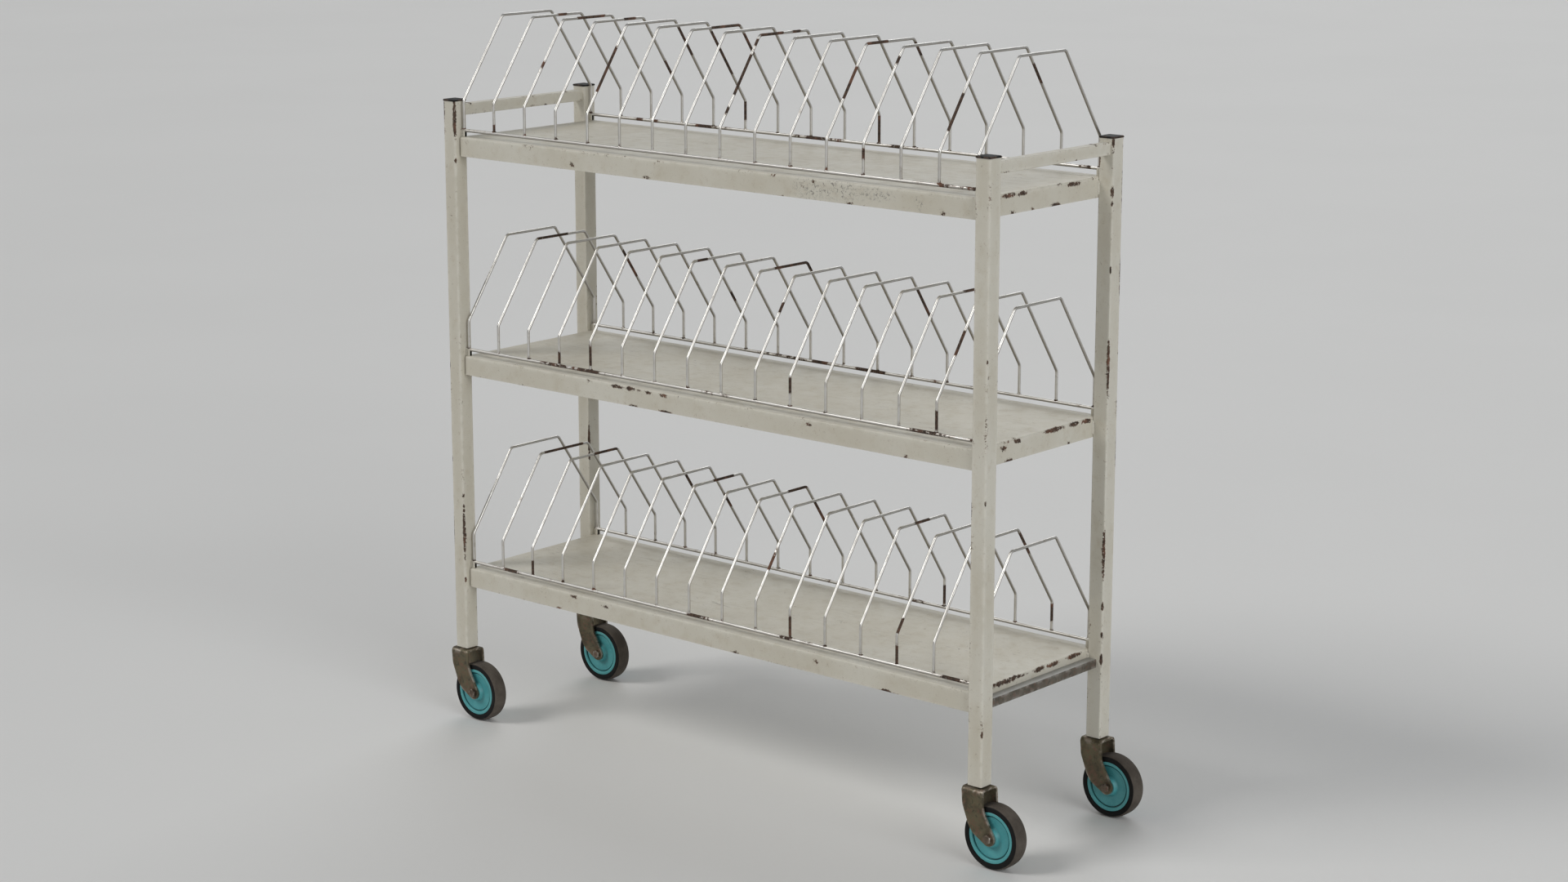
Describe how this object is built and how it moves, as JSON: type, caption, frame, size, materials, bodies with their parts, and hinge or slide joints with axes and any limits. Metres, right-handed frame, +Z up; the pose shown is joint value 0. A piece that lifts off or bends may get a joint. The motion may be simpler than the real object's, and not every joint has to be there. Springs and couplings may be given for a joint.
{
  "type": "book cart",
  "caption": "Steel trolley on swivel casters with pressed trays between square posts, each tray carrying a wire rack of hoops that hold binders upright.",
  "frame": {"origin": "on the floor, midway between the contact points of the four wheels with every caster trailing towards +X", "axes": "+Z up, X along the length of the trolley, -Y towards the front long side"},
  "size_m": [1.3761, 0.4064, 1.3716],
  "materials": {
    "cream_paint": "cream stove enamel over steel, chipped to rust along the edges",
    "tray_paint": "cream stove enamel, scratched and stained on the flat",
    "bare_steel": "bare steel with a brown patina",
    "zinc_wire": "bright plated wire with rust spots",
    "cap_plastic": "moulded black plastic, dusty",
    "insert_plastic": "moulded dark nylon",
    "fork_steel": "pressed steel with an olive-brown patina, worn bright at the bends",
    "fastener_steel": "dull brown steel",
    "hub_plastic": "moulded turquoise plastic, satin",
    "bush_brass": "plain bearing metal",
    "tyre_rubber": "grey-black rubber, dusty brown tread"
  },
  "bodies": {
    "frame": {"post_front_left": "cream_paint", "post_front_right": "cream_paint", "post_rear_left": "cream_paint", "post_rear_right": "cream_paint", "post_cap_front_left": "cap_plastic", "post_cap_front_right": "cap_plastic", "post_cap_rear_left": "cap_plastic", "post_cap_rear_right": "cap_plastic", "top_end_rail_left": "cream_paint", "top_end_rail_right": "cream_paint", "lower_end_bar_left": "bare_steel", "lower_end_bar_right": "bare_steel", "tray_bottom": "tray_paint", "hoops_bottom": "zinc_wire", "rack_rods_bottom": "zinc_wire", "rod_seats_bottom": "cream_paint", "tray_middle": "tray_paint", "hoops_middle": "zinc_wire", "rack_rods_middle": "zinc_wire", "rod_seats_middle": "cream_paint", "tray_top": "tray_paint", "hoops_top": "zinc_wire", "rack_rods_top": "zinc_wire", "rod_seats_top": "cream_paint", "caster_insert_front_left": "insert_plastic", "caster_insert_front_right": "insert_plastic", "caster_insert_rear_left": "insert_plastic", "caster_insert_rear_right": "insert_plastic", "thrust_washer_front_left": "insert_plastic", "thrust_washer_front_right": "insert_plastic", "thrust_washer_rear_left": "insert_plastic", "thrust_washer_rear_right": "insert_plastic", "kingpin_front_left": "fastener_steel", "kingpin_front_right": "fastener_steel", "kingpin_rear_left": "fastener_steel", "kingpin_rear_right": "fastener_steel"},
    "fork_front_left": {"caster_fork_front_left": "fork_steel", "axle_bolt_front_left": "fastener_steel", "axle_nut_front_left": "fastener_steel"},
    "wheel_front_left": {"wheel_hub_front_left": "hub_plastic", "hub_bush_front_left": "bush_brass", "tyre_front_left": "tyre_rubber"},
    "fork_front_right": {"caster_fork_front_right": "fork_steel", "axle_bolt_front_right": "fastener_steel", "axle_nut_front_right": "fastener_steel"},
    "wheel_front_right": {"wheel_hub_front_right": "hub_plastic", "hub_bush_front_right": "bush_brass", "tyre_front_right": "tyre_rubber"},
    "fork_rear_left": {"caster_fork_rear_left": "fork_steel", "axle_bolt_rear_left": "fastener_steel", "axle_nut_rear_left": "fastener_steel"},
    "wheel_rear_left": {"wheel_hub_rear_left": "hub_plastic", "hub_bush_rear_left": "bush_brass", "tyre_rear_left": "tyre_rubber"},
    "fork_rear_right": {"caster_fork_rear_right": "fork_steel", "axle_bolt_rear_right": "fastener_steel", "axle_nut_rear_right": "fastener_steel"},
    "wheel_rear_right": {"wheel_hub_rear_right": "hub_plastic", "hub_bush_rear_right": "bush_brass", "tyre_rear_right": "tyre_rubber"}
  },
  "joints": [
    {"name": "swivel_front_left", "type": "hinge", "parent": "frame", "child": "fork_front_left", "pos_m": [-0.6663, -0.1741, 0.138], "axis": [0, 0, 1], "continuous": true},
    {"name": "wheel_spin_front_left", "type": "hinge", "parent": "fork_front_left", "child": "wheel_front_left", "pos_m": [-0.6303, -0.1741, 0.0575], "axis": [0, 1, 0], "continuous": true},
    {"name": "swivel_front_right", "type": "hinge", "parent": "frame", "child": "fork_front_right", "pos_m": [0.5943, -0.1741, 0.138], "axis": [0, 0, 1], "continuous": true},
    {"name": "wheel_spin_front_right", "type": "hinge", "parent": "fork_front_right", "child": "wheel_front_right", "pos_m": [0.6303, -0.1741, 0.0575], "axis": [0, 1, 0], "continuous": true},
    {"name": "swivel_rear_left", "type": "hinge", "parent": "frame", "child": "fork_rear_left", "pos_m": [-0.6663, 0.1741, 0.138], "axis": [0, 0, 1], "continuous": true},
    {"name": "wheel_spin_rear_left", "type": "hinge", "parent": "fork_rear_left", "child": "wheel_rear_left", "pos_m": [-0.6303, 0.1741, 0.0575], "axis": [0, 1, 0], "continuous": true},
    {"name": "swivel_rear_right", "type": "hinge", "parent": "frame", "child": "fork_rear_right", "pos_m": [0.5943, 0.1741, 0.138], "axis": [0, 0, 1], "continuous": true},
    {"name": "wheel_spin_rear_right", "type": "hinge", "parent": "fork_rear_right", "child": "wheel_rear_right", "pos_m": [0.6303, 0.1741, 0.0575], "axis": [0, 1, 0], "continuous": true}
  ]
}
